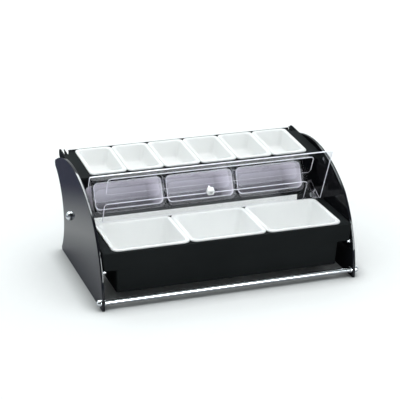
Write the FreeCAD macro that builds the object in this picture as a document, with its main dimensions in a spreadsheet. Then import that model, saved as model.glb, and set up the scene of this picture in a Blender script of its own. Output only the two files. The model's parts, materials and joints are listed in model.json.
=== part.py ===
import FreeCAD, Part
import math
import os
import Sketcher
from FreeCAD import Placement, Rotation, Vector

# Bar condiment holder: two black side panels carry a tub with wide dishes at the front,
# a tilted rack of clear bins behind a hinged clear lid, and a row of narrow dishes on top.
# X runs left to right, the front faces -Y, and Z is up from the counter.

SIZES = {
    # Side panels
    "panel_thickness": 5.0,
    "panel_side_gap": 2.0,
    "panel_tip_overhang": 39.0,
    "panel_toe_inset": 0.42,
    "panel_shoulder_back": 59.5,
    "panel_shoulder_drop": 41.0,
    "panel_heel_inset": 36.0,
    "panel_heel_round": 6.0,
    "panel_tip_drop": 32.0,
    "panel_tip_inset": 2.5,
    "panel_tip_top_drop": 17.5,
    "panel_tip_top_inset": 7.5,
    "panel_front_rise": 18.0,
    "panel_crown_rise": 41.5,
    "panel_hollow_rise": 42.5,
    "panel_tip_rise": 4.8,
    "blind_depth": 3.5,
    # Front rod and cap nuts
    "rod_radius": 5.0,
    "rod_back": 8.0,
    "rod_height": 14.0,
    "rod_collar_radius": 6.5,
    "rod_collar": 3.0,
    "stud_radius": 3.0,
    "stud_grip": 4.0,
    "rod_nut_radius": 6.5,
    "rack_nut_radius": 9.0,
    "nut_skirt": 2.5,
    "nut_height": 9.0,
    # Lower tub and its deck
    "tub_back": 7.2,
    "tub_floor_height": 24.0,
    "tub_collar": 35.7,
    "tub_body_inset": 25.0,
    "tub_front_rake": 13.5,
    "tub_rear_rake": 9.0,
    "tub_side_draft": 2.0,
    "tub_wall": 2.4,
    "tub_corner": 4.0,
    "ice_space": 18.3,
    "deck_border": 18.0,
    "deck_edge": 5.3,
    "deck_thickness": 3.0,
    "deck_ledge": 1.8,
    "deck_margin": 0.3,
    # Wide dishes in the deck
    "wide_dish_width": 149.4,
    "wide_dish_length": 139.4,
    "wide_dish_depth": 64.0,
    "wide_dish_draft": 9.0,
    "wide_dish_corner": 13.0,
    # What every dish shares
    "dish_spacing": 0.6,
    "dish_rim": 5.0,
    "dish_rim_thickness": 3.5,
    "dish_wall": 2.2,
    "dish_gap": 0.6,
    "dish_lift": 0.3,
    # Upper tray
    "tray_clearance": 19.25,
    "tray_tilt": 3.4,
    "tray_front_border": 7.3,
    "tray_rear_border": 5.2,
    "tray_thickness": 3.0,
    "tray_lip": 5.0,
    "tray_rear_lip": 14.0,
    "tray_rear_rise": 2.0,
    "tray_flange_thickness": 2.5,
    "tray_flange_drop": 18.0,
    "tray_ear": 38.0,
    "tray_ear_round": 8.0,
    "tray_tail": 20.0,
    "tray_slot_length": 16.0,
    "tray_slot_width": 11.5,
    "tray_fin_thickness": 2.0,
    "tray_fin_gap": 4.5,
    "tray_fin_drop": 12.0,
    "tray_fin_overhang": 10.0,
    "tray_screw_back": 16.5,
    "tray_screw_drop": 5.5,
    "tray_screw_radius": 2.0,
    "tray_screw_head": 4.0,
    # Narrow dishes in the tray
    "narrow_row_inset": 4.2,
    "narrow_dish_length": 128.0,
    "narrow_dish_draft": 5.0,
    "narrow_dish_slope": 47.0,
    "narrow_dish_corner": 10.0,
    "dish_bin_clearance": 6.6,
    # Clear bins and their rack
    "bin_tilt": 21.5,
    "bin_ahead": 9.4,
    "bin_rise": 18.0,
    "bin_inset": 9.0,
    "bin_opening": 61.0,
    "bin_depth": 90.0,
    "bin_draft": 4.0,
    "bin_corner": 11.0,
    "bin_rim": 4.0,
    "bin_rim_thickness": 3.0,
    "rack_side_gap": 5.0,
    "rack_thickness": 2.5,
    "rack_lip": 13.0,
    "rack_back_wall": 72.0,
    "rack_notch_width": 18.0,
    "rack_notch_back": 40.0,
    "rack_boss_radius": 9.0,
    "rack_boss_root": 4.0,
    "rack_bolt_back": 56.0,
    "rack_bolt_up": 0.6,
    "rack_pin_back": 84.0,
    # Support pins
    "pin_radius": 3.0,
    "pin_reach": 7.0,
    "tub_pin_inset": 4.0,
    # Hinged lid
    "hinge_drop": 4.7,
    "hinge_radius": 2.5,
    "hinge_clearance": 0.05,
    "hinge_head_radius": 4.5,
    "hinge_head": 2.0,
    "lid_open_tilt": 25.3,
    "lid_travel": 29.0,
    "lid_rest_gap": 0.6,
    "lid_close_gap": 1.5,
    "lid_side_gap": 3.5,
    "lid_thickness": 3.0,
    "lid_offset": 24.0,
    "lid_bottom": 6.0,
    "lid_top": 144.0,
    "lid_corner": 4.0,
    "lid_arm": 6.0,
    "lid_arm_top": 14.0,
    "lid_boss_radius": 7.0,
    "lid_play": 0.3,
    "field_side_inset": 36.5,
    "field_corner": 7.0,
    "field_recess": 0.8,
    "field_low_bottom": 16.0,
    "field_low_top": 66.0,
    "field_high_bottom": 91.0,
    "field_high_top": 132.0,
    # Lid knob
    "knob_side": 13.0,
    "knob_length": 11.0,
    "knob_corner": 3.0,
    "knob_height": 78.5,
    "knob_screw_radius": 1.75,
    "knob_screw_grip": 6.0,
    "knob_screw_head_radius": 4.0,
    "knob_screw_head": 2.0,
    "knob_hole_gap": 0.25,
    # One overrun for every cut that leaves the solid
    "overrun": 2.0,
}
DISH_ROW = 3
NARROW_ROW = 6

doc = FreeCAD.newDocument("bar_condiment_holder")
sheet = doc.addObject("Spreadsheet::Sheet", "Sheet")


class Size:
    """A length with both its number and the spreadsheet formula it comes from."""

    def __init__(self, number, formula):
        self.number = number
        self.formula = formula

    def __add__(self, other):
        return Size(self.number + other.number, f"({self.formula} + {other.formula})")

    def __sub__(self, other):
        return Size(self.number - other.number, f"({self.formula} - {other.formula})")

    def __mul__(self, other):
        other = as_size(other)
        return Size(self.number * other.number, f"({self.formula} * {other.formula})")

    def __truediv__(self, other):
        other = as_size(other)
        return Size(self.number / other.number, f"({self.formula} / {other.formula})")

    def __neg__(self):
        return Size(-self.number, f"(-{self.formula})")


def as_size(value):
    """A plain count or share, as a Size."""
    if isinstance(value, Size):
        return value
    return Size(float(value), repr(value))


def cosine(angle):
    return Size(math.cos(math.radians(angle.number)), f"cos({angle.formula} * 1 deg)")


def sine(angle):
    return Size(math.sin(math.radians(angle.number)), f"sin({angle.formula} * 1 deg)")


for row, (name, value) in enumerate(SIZES.items(), start=1):
    sheet.set(f"A{row}", name)
    sheet.set(f"B{row}", str(value))
    sheet.setAlias(f"B{row}", name)
doc.recompute()

S = {name: Size(float(sheet.get(name)), f"Sheet.{name}") for name in SIZES}
ZERO = Size(0.0, "0")
follow = doc.addObject("App::VarSet", "Follow")


def derive(name, size):
    """Keep a size that follows from others under its own name, bound to them."""
    follow.addProperty("App::PropertyFloat", name)
    follow.setExpression(name, size.formula)
    S[name] = Size(size.number, f"Follow.{name}")


# Widths follow from the row of wide dishes
derive("wide_dish_pitch", S["wide_dish_width"] + S["dish_spacing"])
derive("row_width", S["wide_dish_pitch"] * DISH_ROW)
derive("tub_width", S["row_width"] + S["deck_border"] * 2)
derive("inner_half_width", S["tub_width"] / 2 + S["panel_side_gap"])
derive("half_width", S["inner_half_width"] + S["panel_thickness"])
derive("narrow_dish_pitch", (S["row_width"] - S["narrow_row_inset"] * 2) / NARROW_ROW)
derive("narrow_dish_width", S["narrow_dish_pitch"] - S["dish_spacing"])
derive("bin_pitch", (S["row_width"] - S["bin_inset"] * 2) / DISH_ROW)
derive("bin_width", S["bin_pitch"] - S["dish_spacing"])
derive("rack_half_width", S["inner_half_width"] - S["rack_side_gap"])
derive("lid_half_width", S["inner_half_width"] - S["lid_side_gap"])

# Heights stack up from the counter: tub, hinge, bins, tray
derive("tub_inner_floor", S["tub_floor_height"] + S["tub_wall"])
derive("tub_height", S["tub_inner_floor"] + S["ice_space"] + S["wide_dish_depth"])
derive("tub_step_height", S["tub_height"] - S["tub_collar"])
derive("hinge_height", S["tub_height"] - S["hinge_drop"])
derive("bin_height", S["hinge_height"] + S["bin_rise"])
derive("bin_sine", sine(S["bin_tilt"]))
derive("bin_cosine", cosine(S["bin_tilt"]))
derive("tray_sine", sine(S["tray_tilt"]))
derive("tray_cosine", cosine(S["tray_tilt"]))
derive("tray_height", S["bin_height"] + S["bin_opening"] * S["bin_cosine"] + S["tray_clearance"])

# Depths run back from the front: tub, the lid leaning on it, the tray the lid closes on
derive("tub_depth", S["wide_dish_length"] + S["deck_edge"] * 2)
derive("lid_face", S["lid_offset"] + S["lid_thickness"] + S["lid_rest_gap"])
derive("hinge_behind_tub", (
    (S["lid_face"] + S["hinge_drop"] * sine(S["lid_open_tilt"])) / cosine(S["lid_open_tilt"])))
derive("hinge_back", S["tub_back"] + S["tub_depth"] + S["hinge_behind_tub"])
derive("bin_back", S["hinge_back"] - S["bin_ahead"])
derive("lid_closed_tilt", S["lid_open_tilt"] - S["lid_travel"])
derive("lid_closed_reach", (
    (S["lid_offset"] + (S["tray_height"] - S["hinge_height"]) * sine(S["lid_closed_tilt"]))
    / cosine(S["lid_closed_tilt"])))
derive("tray_back", S["hinge_back"] - S["lid_closed_reach"] + S["lid_close_gap"])
derive("tray_depth", S["narrow_dish_length"] + S["tray_front_border"] + S["tray_rear_border"])
derive("panel_depth", S["tray_back"] + S["tray_depth"] + S["panel_tip_overhang"])
derive("front", -S["panel_depth"] / 2)

# The narrow dishes are as deep as the bins under them allow
derive("narrow_floor_back", (
    S["tray_back"] + S["tray_front_border"] + S["dish_rim"] + S["narrow_dish_draft"]
    + S["narrow_dish_slope"]))
derive("bin_top", S["bin_opening"] - S["bin_rim"])
derive("bin_top_back", (
    (S["narrow_floor_back"] - S["bin_back"] - S["bin_top"] * S["bin_sine"]) / S["bin_cosine"]))
derive("bin_top_height", (
    S["bin_height"] + S["bin_top"] * S["bin_cosine"] - S["bin_top_back"] * S["bin_sine"]))
derive("narrow_dish_depth", (
    S["tray_height"] + S["dish_lift"] - S["bin_top_height"] - S["dish_bin_clearance"]))
doc.recompute()

FRONT = S["front"]
HALF_WIDTH = S["half_width"]
INNER_X = S["inner_half_width"]


def bind(thing, prop, size):
    """Tie one property of a document object to the sheet."""
    thing.setExpression(prop, size.formula)


def place(thing, x, y, z, axis=None, angle=None, turn=None):
    """Put a piece at a bound place, turned by a bound angle or by whole degrees."""
    if axis is not None:
        degrees = angle.number if turn is None else turn
        thing.Placement = Placement(Vector(), Rotation(axis, degrees))
    if angle is not None:
        bind(thing, "Placement.Rotation.Angle", angle)
    bind(thing, "Placement.Base.x", x)
    bind(thing, "Placement.Base.y", y)
    bind(thing, "Placement.Base.z", z)


def rise_radius(start, end, rise):
    """Radius of the arc over a chord that stands this far off it."""
    across = end[0] - start[0]
    along = end[1] - start[1]
    return ((across * across + along * along) / 4 + rise * rise) / (rise * 2)


def rounded_rectangle(left, right, low, high, radius):
    """Corners of a rectangle with round corners, and which of its sides are arcs."""
    corners = [
        (left + radius, low), (right - radius, low),
        (right, low + radius), (right, high - radius),
        (right - radius, high), (left + radius, high),
        (left, high - radius), (left, low + radius),
    ]
    return corners, {1: (radius, 1), 3: (radius, 1), 5: (radius, 1), 7: (radius, 1)}


def add_side(sketch, start, end, arc):
    """Draw one side; return the point numbers at its start and end."""
    first = Vector(start[0].number, start[1].number, 0)
    last = Vector(end[0].number, end[1].number, 0)
    if arc is None:
        return sketch.addGeometry(Part.LineSegment(first, last)), 1, 2
    radius, turn = arc
    chord = last - first
    half = chord.Length / 2
    reach = math.sqrt(max(radius.number ** 2 - half ** 2, 0.0))
    normal = Vector(-chord.y, chord.x, 0).normalize()
    centre = (first + last) * 0.5 + normal * (turn * reach)
    begin, stop = (first, last) if turn > 0 else (last, first)
    angles = [math.atan2(p.y - centre.y, p.x - centre.x) for p in (begin, stop)]
    circle = Part.Circle(centre, Vector(0, 0, 1), radius.number)
    side = sketch.addGeometry(Part.ArcOfCircle(circle, angles[0], angles[1]))
    return (side, 1, 2) if turn > 0 else (side, 2, 1)


def constrain(sketch, kind, *where):
    """Add a constraint; where it ends in a Size, tie its value to the sheet."""
    if isinstance(where[-1], Size):
        size = where[-1]
        index = sketch.addConstraint(Sketcher.Constraint(kind, *where[:-1], size.number))
        bind(sketch, f"Constraints[{index}]", size)
    else:
        sketch.addConstraint(Sketcher.Constraint(kind, *where))


def new_sketch(body, role, offset=ZERO):
    """A sketch on one of the body's own origin planes, moved along its normal."""
    plane = [f for f in body.Origin.OriginFeatures if f.Role == role][0]
    sketch = body.newObject("Sketcher::SketchObject", body.Label + "_sketch")
    sketch.AttachmentSupport = [(plane, "")]
    sketch.MapMode = "FlatFace"
    bind(sketch, "AttachmentOffset.Base.z", offset)
    return sketch


def outline_sketch(body, role, outlines, offset=ZERO):
    """A sketch of closed outlines, each a list of corners and its arcs."""
    sketch = new_sketch(body, role, offset)
    for corners, arcs in outlines:
        count = len(corners)
        sides = []
        for n in range(count):
            sides.append(add_side(sketch, corners[n], corners[(n + 1) % count], arcs.get(n)))
        for n, (side, start, end) in enumerate(sides):
            following = sides[(n + 1) % count]
            constrain(sketch, "Coincident", side, end, following[0], following[1])
            constrain(sketch, "DistanceX", -1, 1, side, start, corners[n][0])
            constrain(sketch, "DistanceY", -1, 1, side, start, corners[n][1])
            if n in arcs:
                constrain(sketch, "Radius", side, arcs[n][0])
    return sketch


def circle_sketch(body, role, centres, radius, offset=ZERO):
    """A sketch of equal circles."""
    sketch = new_sketch(body, role, offset)
    for x, y in centres:
        middle = Vector(x.number, y.number, 0)
        side = sketch.addGeometry(Part.Circle(middle, Vector(0, 0, 1), radius.number))
        constrain(sketch, "DistanceX", -1, 1, side, 3, x)
        constrain(sketch, "DistanceY", -1, 1, side, 3, y)
        constrain(sketch, "Radius", side, radius)
    return sketch


def new_body(label):
    body = doc.addObject("PartDesign::Body", label)
    body.Label = label
    return body


def pad(body, sketch, length):
    """Grow the body from a sketch, along its normal."""
    feature = body.newObject("PartDesign::Pad", body.Label + "_pad")
    feature.Profile = sketch
    bind(feature, "Length", length)
    doc.recompute()
    return feature


def cut(body, sketch, length, reverse=False):
    """Pocket the body from a sketch, and make sure that metal came off."""
    before = body.Shape.Volume
    feature = body.newObject("PartDesign::Pocket", body.Label + "_pocket")
    feature.Profile = sketch
    feature.Reversed = reverse
    bind(feature, "Length", length)
    doc.recompute()
    if body.Shape.Volume >= before:
        raise RuntimeError(f"{body.Label}: a pocket cut nothing")
    return feature


def loft(body, kind, first, second):
    """A ruled loft between two sketches, added or taken away."""
    feature = body.newObject(kind, body.Label + "_loft")
    feature.Profile = first
    feature.Sections = [second]
    feature.Ruled = True
    doc.recompute()
    return feature


def turned(label, corners, arcs):
    """A piece turned about its own Z axis from half its section."""
    body = new_body(label)
    sketch = outline_sketch(body, "XZ_Plane", [(corners, arcs)])
    feature = body.newObject("PartDesign::Revolution", label + "_turn")
    feature.Profile = sketch
    feature.ReferenceAxis = (sketch, ["V_Axis"])
    doc.recompute()
    return body


def group(label, pieces):
    """Identical small pieces kept together as one node of separate solids."""
    node = doc.addObject("Part::Compound", label)
    node.Label = label
    node.Links = pieces
    doc.recompute()
    return node


def across(thing, side, x, y, z):
    """Lay a turned piece along X, pointing out of the left (-1) or right (1) panel."""
    place(thing, x * side, y, z, axis=Vector(0, 1, 0), turn=90 * side)


# Places that several pieces share
ROD_Y = FRONT + S["rod_back"]
BIN_Y = FRONT + S["bin_back"]
HINGE_Y = FRONT + S["hinge_back"]
TUB_Y = FRONT + S["tub_back"]
TUB_REAR_Y = TUB_Y + S["tub_depth"]
COLLAR_SHARE = S["tub_collar"] / (S["tub_height"] - S["tub_floor_height"])
TUB_STEP_FRONT_Y = TUB_Y + S["tub_front_rake"] * COLLAR_SHARE
TUB_STEP_REAR_Y = TUB_REAR_Y - S["tub_rear_rake"] * COLLAR_SHARE
TUB_PIN_Z = S["tub_step_height"] - S["pin_radius"]
TUB_PIN_YS = (TUB_STEP_FRONT_Y + S["tub_pin_inset"], TUB_STEP_REAR_Y - S["tub_pin_inset"])
TRAY_Y = FRONT + S["tray_back"]
TRAY_SCREWS = (
    (S["tray_screw_back"] - S["tray_ear"], -S["tray_screw_drop"]),
    (S["tray_depth"] - S["tray_screw_back"], -S["tray_screw_drop"]),
)
SHELF_TOP = S["bin_rim"]
SHELF_UNDER = SHELF_TOP - S["rack_thickness"]


def rack_point(back, up):
    """A point of the tilted rack, given along and above its shelf, as Y and Z."""
    y = BIN_Y + back * S["bin_cosine"] + up * S["bin_sine"]
    z = S["bin_height"] - back * S["bin_sine"] + up * S["bin_cosine"]
    return y, z


def tray_point(back, up):
    """A point of the tilted tray, given behind and above its front edge, as Y and Z."""
    y = TRAY_Y + back * S["tray_cosine"] - up * S["tray_sine"]
    z = S["tray_height"] + back * S["tray_sine"] + up * S["tray_cosine"]
    return y, z


RACK_BOLT = rack_point(S["rack_bolt_back"], S["rack_bolt_up"])
RACK_PIN = rack_point(S["rack_pin_back"], SHELF_UNDER - S["pin_radius"])


def panel_outline():
    """Convex front and crown, a horn at the rear top, and a hollow rear edge."""
    heel_y = -FRONT - S["panel_heel_inset"]
    front_foot = (FRONT + S["panel_toe_inset"], ZERO)
    rear_foot = (heel_y - S["panel_heel_round"], ZERO)
    heel = (heel_y, S["panel_heel_round"])
    tip = (-FRONT - S["panel_tip_inset"], S["tray_height"] - S["panel_tip_drop"])
    tip_top = (-FRONT - S["panel_tip_top_inset"], S["tray_height"] - S["panel_tip_top_drop"])
    shoulder = (FRONT + S["panel_shoulder_back"], S["tray_height"] - S["panel_shoulder_drop"])
    corners = [front_foot, rear_foot, heel, tip, tip_top, shoulder]
    arcs = {
        1: (S["panel_heel_round"], 1),
        2: (rise_radius(heel, tip, S["panel_hollow_rise"]), -1),
        3: (rise_radius(tip, tip_top, S["panel_tip_rise"]), 1),
        4: (rise_radius(tip_top, shoulder, S["panel_crown_rise"]), 1),
        5: (rise_radius(shoulder, front_foot, S["panel_front_rise"]), 1),
    }
    return corners, arcs


def side_panel(label, side):
    """One side panel, with stud holes right through and blind holes from the inside."""
    body = new_body(label)
    inner = INNER_X * side
    start = INNER_X if side > 0 else -HALF_WIDTH
    pad(body, outline_sketch(body, "YZ_Plane", [panel_outline()], start), S["panel_thickness"])
    through = [(ROD_Y, S["rod_height"]), RACK_BOLT]
    sketch = circle_sketch(body, "YZ_Plane", through, S["stud_radius"], inner)
    cut(body, sketch, S["panel_thickness"] + S["overrun"], reverse=side > 0)
    pins = [(y, TUB_PIN_Z) for y in TUB_PIN_YS] + [RACK_PIN]
    sketch = circle_sketch(body, "YZ_Plane", pins, S["pin_radius"], inner)
    cut(body, sketch, S["blind_depth"], reverse=side > 0)
    hinge = [(HINGE_Y, S["hinge_height"])]
    sketch = circle_sketch(body, "YZ_Plane", hinge, S["hinge_radius"], inner)
    cut(body, sketch, S["blind_depth"], reverse=side > 0)
    screws = [tray_point(back, up) for back, up in TRAY_SCREWS]
    sketch = circle_sketch(body, "YZ_Plane", screws, S["tray_screw_radius"], inner)
    cut(body, sketch, S["blind_depth"], reverse=side > 0)
    return body


def front_rod():
    """Tie rod with a collar against each panel and a stud that passes through it."""
    end = INNER_X
    neck = INNER_X - S["rod_collar"]
    tip = HALF_WIDTH + S["stud_grip"]
    half = [
        (S["rod_radius"], neck), (S["rod_collar_radius"], neck), (S["rod_collar_radius"], end),
        (S["stud_radius"], end), (S["stud_radius"], tip), (ZERO, tip),
    ]
    corners = [(x, -z) for x, z in reversed(half)] + half
    rod = turned("front_rod", corners, {})
    across(rod, 1, ZERO, ROD_Y, S["rod_height"])
    return rod


def cap_nut(label, side, y, z, radius):
    """Domed nut over the end of a stud."""
    skirt = (radius, S["nut_skirt"])
    crown = (ZERO, S["nut_height"])
    corners = [
        (S["stud_radius"], ZERO), (radius, ZERO), skirt, crown,
        (ZERO, S["stud_grip"]), (S["stud_radius"], S["stud_grip"]),
    ]
    dome = S["nut_height"] - S["nut_skirt"]
    dome_radius = (radius * radius + dome * dome) / (dome * 2)
    nut = turned(label, corners, {2: (dome_radius, 1)})
    across(nut, side, HALF_WIDTH, y, z)
    return nut


def support_pin(label, side, y, z):
    """Plain pin pressed into the inside of a panel."""
    pin = doc.addObject("Part::Cylinder", label)
    bind(pin, "Radius", S["pin_radius"])
    bind(pin, "Height", S["pin_reach"] + S["blind_depth"])
    across(pin, side, INNER_X - S["pin_reach"], y, z)
    return pin


def tub_section(z, width, front, rear, wall=ZERO):
    """Rounded rectangle of the tub at one height, pulled in by a wall."""
    half = width / 2 - wall
    return rounded_rectangle(-half, half, front + wall, rear - wall, S["tub_corner"]), z


def lower_tub():
    """Tub with a wide collar between the panels and a narrower body under it."""
    front_low = TUB_Y + S["tub_front_rake"]
    rear_low = TUB_REAR_Y - S["tub_rear_rake"]
    wide = S["tub_width"]
    wide_low = wide - S["tub_side_draft"]
    body_wide = wide - S["tub_body_inset"] * 2
    body_low = body_wide - S["tub_side_draft"]
    wall = S["tub_wall"]
    body = new_body("lower_tub")

    def section(found):
        (outline, z) = found
        return outline_sketch(body, "XY_Plane", [outline], z)

    add = "PartDesign::AdditiveLoft"
    take = "PartDesign::SubtractiveLoft"
    top = section(tub_section(S["tub_height"], wide, TUB_Y, TUB_REAR_Y))
    step = section(tub_section(S["tub_step_height"], wide_low, TUB_STEP_FRONT_Y, TUB_STEP_REAR_Y))
    loft(body, add, top, step)
    neck = section(tub_section(S["tub_step_height"], body_wide, TUB_STEP_FRONT_Y, TUB_STEP_REAR_Y))
    floor = section(tub_section(S["tub_floor_height"], body_low, front_low, rear_low))
    loft(body, add, neck, floor)
    ledge = wall + S["deck_ledge"]
    ledge_z = S["tub_height"] - S["deck_thickness"]
    inner_top = section(tub_section(ledge_z, wide, TUB_Y, TUB_REAR_Y, ledge))
    shelf_z = S["tub_step_height"] + wall
    inner_step = section(tub_section(shelf_z, wide_low, TUB_STEP_FRONT_Y, TUB_STEP_REAR_Y, ledge))
    loft(body, take, inner_top, inner_step)
    inner_neck = section(tub_section(shelf_z, body_wide, TUB_STEP_FRONT_Y, TUB_STEP_REAR_Y, wall))
    inner_floor = section(tub_section(S["tub_inner_floor"], body_low, front_low, rear_low, wall))
    loft(body, take, inner_neck, inner_floor)
    rebate, rebate_z = tub_section(S["tub_height"], wide, TUB_Y, TUB_REAR_Y, wall)
    cut(body, outline_sketch(body, "XY_Plane", [rebate], rebate_z), S["deck_thickness"])
    return body


WIDE_DISH_Y = TUB_Y + S["tub_depth"] / 2
WIDE_DISH_XS = [S["wide_dish_pitch"] * (n - (DISH_ROW - 1) / 2) for n in range(DISH_ROW)]
NARROW_DISH_BACK = S["tray_front_border"] + S["narrow_dish_length"] / 2
NARROW_DISH_XS = [S["narrow_dish_pitch"] * (n - (NARROW_ROW - 1) / 2) for n in range(NARROW_ROW)]
BIN_XS = [S["bin_pitch"] * (n - (DISH_ROW - 1) / 2) for n in range(DISH_ROW)]


def dish_openings(xs, y, width, length, corner):
    """Openings of a plate that dishes hang in by their rims."""
    half_x = width / 2 - S["dish_rim"] + S["dish_gap"]
    half_y = length / 2 - S["dish_rim"] + S["dish_gap"]
    return [rounded_rectangle(x - half_x, x + half_x, y - half_y, y + half_y, corner) for x in xs]


def container_deck():
    """Plate in the tub's rebate, with an opening for each wide dish."""
    body = new_body("container_deck")
    inset = S["tub_wall"] + S["deck_margin"]
    half = S["tub_width"] / 2 - inset
    plate = rounded_rectangle(
        -half, half, TUB_Y + inset, TUB_REAR_Y - inset, S["tub_corner"])
    base = S["tub_height"] - S["deck_thickness"]
    pad(body, outline_sketch(body, "XY_Plane", [plate], base), S["deck_thickness"])
    holes = dish_openings(
        WIDE_DISH_XS, WIDE_DISH_Y, S["wide_dish_width"], S["wide_dish_length"], S["wide_dish_corner"])
    sketch = outline_sketch(body, "XY_Plane", holes, S["tub_height"])
    cut(body, sketch, S["deck_thickness"] + S["overrun"])
    return body


def dish(label, width, length, depth, draft, corner, slope, rim, thickness):
    """Open dish: a flat rim, and tapered walls whose front can slope to a smaller floor.

    The rim's underside is at the piece's own zero height, and the floor lies below it.
    """
    body = new_body(label)
    half_x = width / 2
    half_y = length / 2

    def section(z, inset, front, radius):
        outline = rounded_rectangle(
            -half_x + inset, half_x - inset, -half_y + inset + front, half_y - inset, radius)
        return outline_sketch(body, "XY_Plane", [outline], z)

    wall = S["dish_wall"]
    pad(body, section(ZERO, ZERO, ZERO, corner), thickness)
    neck = section(ZERO, rim, ZERO, corner)
    base = section(-depth, rim + draft, slope, corner)
    loft(body, "PartDesign::AdditiveLoft", neck, base)
    mouth = section(thickness, rim + wall, ZERO, corner - wall)
    throat = section(ZERO, rim + wall, ZERO, corner - wall)
    loft(body, "PartDesign::SubtractiveLoft", mouth, throat)
    throat = section(ZERO, rim + wall, ZERO, corner - wall)
    floor = section(-depth + wall, rim + wall + draft, slope, corner - wall)
    loft(body, "PartDesign::SubtractiveLoft", throat, floor)
    return body


def wide_dish(label, x):
    piece = dish(
        label, S["wide_dish_width"], S["wide_dish_length"], S["wide_dish_depth"],
        S["wide_dish_draft"], S["wide_dish_corner"], ZERO, S["dish_rim"], S["dish_rim_thickness"])
    place(piece, x, WIDE_DISH_Y, S["tub_height"])
    return piece


def narrow_dish(label, x):
    piece = dish(
        label, S["narrow_dish_width"], S["narrow_dish_length"], S["narrow_dish_depth"],
        S["narrow_dish_draft"], S["narrow_dish_corner"], S["narrow_dish_slope"],
        S["dish_rim"], S["dish_rim_thickness"])
    y, z = tray_point(NARROW_DISH_BACK, S["dish_lift"])
    place(piece, x, y, z, axis=Vector(1, 0, 0), angle=S["tray_tilt"])
    return piece


def clear_bin(label, x):
    """Clear bin on its back: its opening leans in the plane of the rack's front."""
    piece = dish(
        label, S["bin_width"], S["bin_opening"], S["bin_depth"], S["bin_draft"],
        S["bin_corner"], -S["bin_draft"], S["bin_rim"], S["bin_rim_thickness"])
    y, z = rack_point(S["bin_rim_thickness"], S["bin_opening"] / 2)
    upright = Size(90.0, "90")
    place(piece, x, y, z, axis=Vector(1, 0, 0), angle=upright - S["bin_tilt"])
    return piece


def bin_rack():
    """Tilted shelf under the bins, with a front lip, a wall behind them and a boss for each bolt."""
    body = new_body("bin_rack")
    half = S["rack_half_width"]
    front = S["bin_rim_thickness"] + S["dish_lift"]
    stop = front + S["bin_depth"]
    step = S["rack_thickness"]
    rear = stop + step
    low = SHELF_TOP - S["rack_lip"]
    high = SHELF_UNDER + S["rack_back_wall"]
    section = [
        (front, low), (front + step, low), (front + step, SHELF_UNDER), (rear, SHELF_UNDER),
        (rear, high), (stop, high), (stop, SHELF_TOP), (front, SHELF_TOP),
    ]
    pad(body, outline_sketch(body, "YZ_Plane", [(section, {})], -half), half * 2)
    notch_x = half - S["rack_notch_width"]
    edge_x = half + S["overrun"]
    ahead = front - S["overrun"]
    notches = []
    for left, right in ((-edge_x, -notch_x), (notch_x, edge_x)):
        corners = [
            (left, ahead), (right, ahead),
            (right, S["rack_notch_back"]), (left, S["rack_notch_back"]),
        ]
        notches.append((corners, {}))
    sketch = outline_sketch(body, "XY_Plane", notches, SHELF_TOP)
    cut(body, sketch, S["rack_lip"] + S["overrun"])
    bolt = [(S["rack_bolt_back"], S["rack_bolt_up"])]
    reach = S["rack_side_gap"] + S["rack_boss_root"]
    for start in (-INNER_X, INNER_X - reach):
        pad(body, circle_sketch(body, "YZ_Plane", bolt, S["rack_boss_radius"], start), reach)
    sketch = circle_sketch(body, "YZ_Plane", bolt, S["stud_radius"], -INNER_X)
    cut(body, sketch, reach, reverse=True)
    sketch = circle_sketch(body, "YZ_Plane", bolt, S["stud_radius"], INNER_X)
    cut(body, sketch, reach)
    place(body, ZERO, BIN_Y, S["bin_height"], axis=Vector(1, 0, 0), angle=-S["bin_tilt"])
    return body


def rack_stud(label, side):
    """Threaded stud from the rack's boss, through the panel, into its cap nut."""
    inner = S["rack_half_width"] - S["rack_boss_root"]
    stud = doc.addObject("Part::Cylinder", label)
    bind(stud, "Radius", S["stud_radius"])
    bind(stud, "Height", HALF_WIDTH + S["stud_grip"] - inner)
    across(stud, side, inner, RACK_BOLT[0], RACK_BOLT[1])
    return stud


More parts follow.
